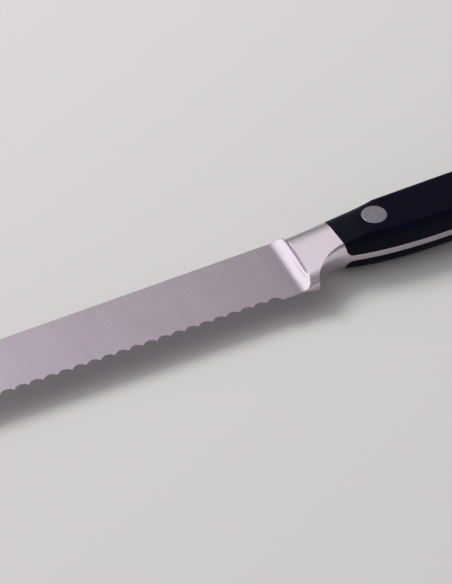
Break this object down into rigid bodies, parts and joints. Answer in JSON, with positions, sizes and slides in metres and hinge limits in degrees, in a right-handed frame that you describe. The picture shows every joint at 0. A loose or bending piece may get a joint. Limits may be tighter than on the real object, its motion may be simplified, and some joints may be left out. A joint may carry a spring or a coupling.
{
  "type": "serrated utility knife",
  "caption": "Kitchen utility knife with a scalloped serrated blade, a forged bolster with a finger notch, a full tang and riveted black handle scales.",
  "frame": {"origin": "middle of the bounding box in X and Y, on the flat side of the right scale that the knife lies on", "axes": "+X from the tip to the butt, +Y from the edge to the spine, +Z from the right side to the left side of the blade"},
  "size_m": [0.247, 0.0226, 0.0128],
  "materials": {
    "steel": "satin, ground across the blade from spine to edge",
    "scale": "smooth matte moulding",
    "rivet": "satin, ground flush with the scales"
  },
  "bodies": {
    "root": {"blade_forging": "steel", "left_scale": "scale", "right_scale": "scale", "rivet_1_socket": "rivet", "rivet_1_pin": "rivet", "rivet_2_socket": "rivet", "rivet_2_pin": "rivet", "rivet_3_socket": "rivet", "rivet_3_pin": "rivet"}
  },
  "joints": []
}
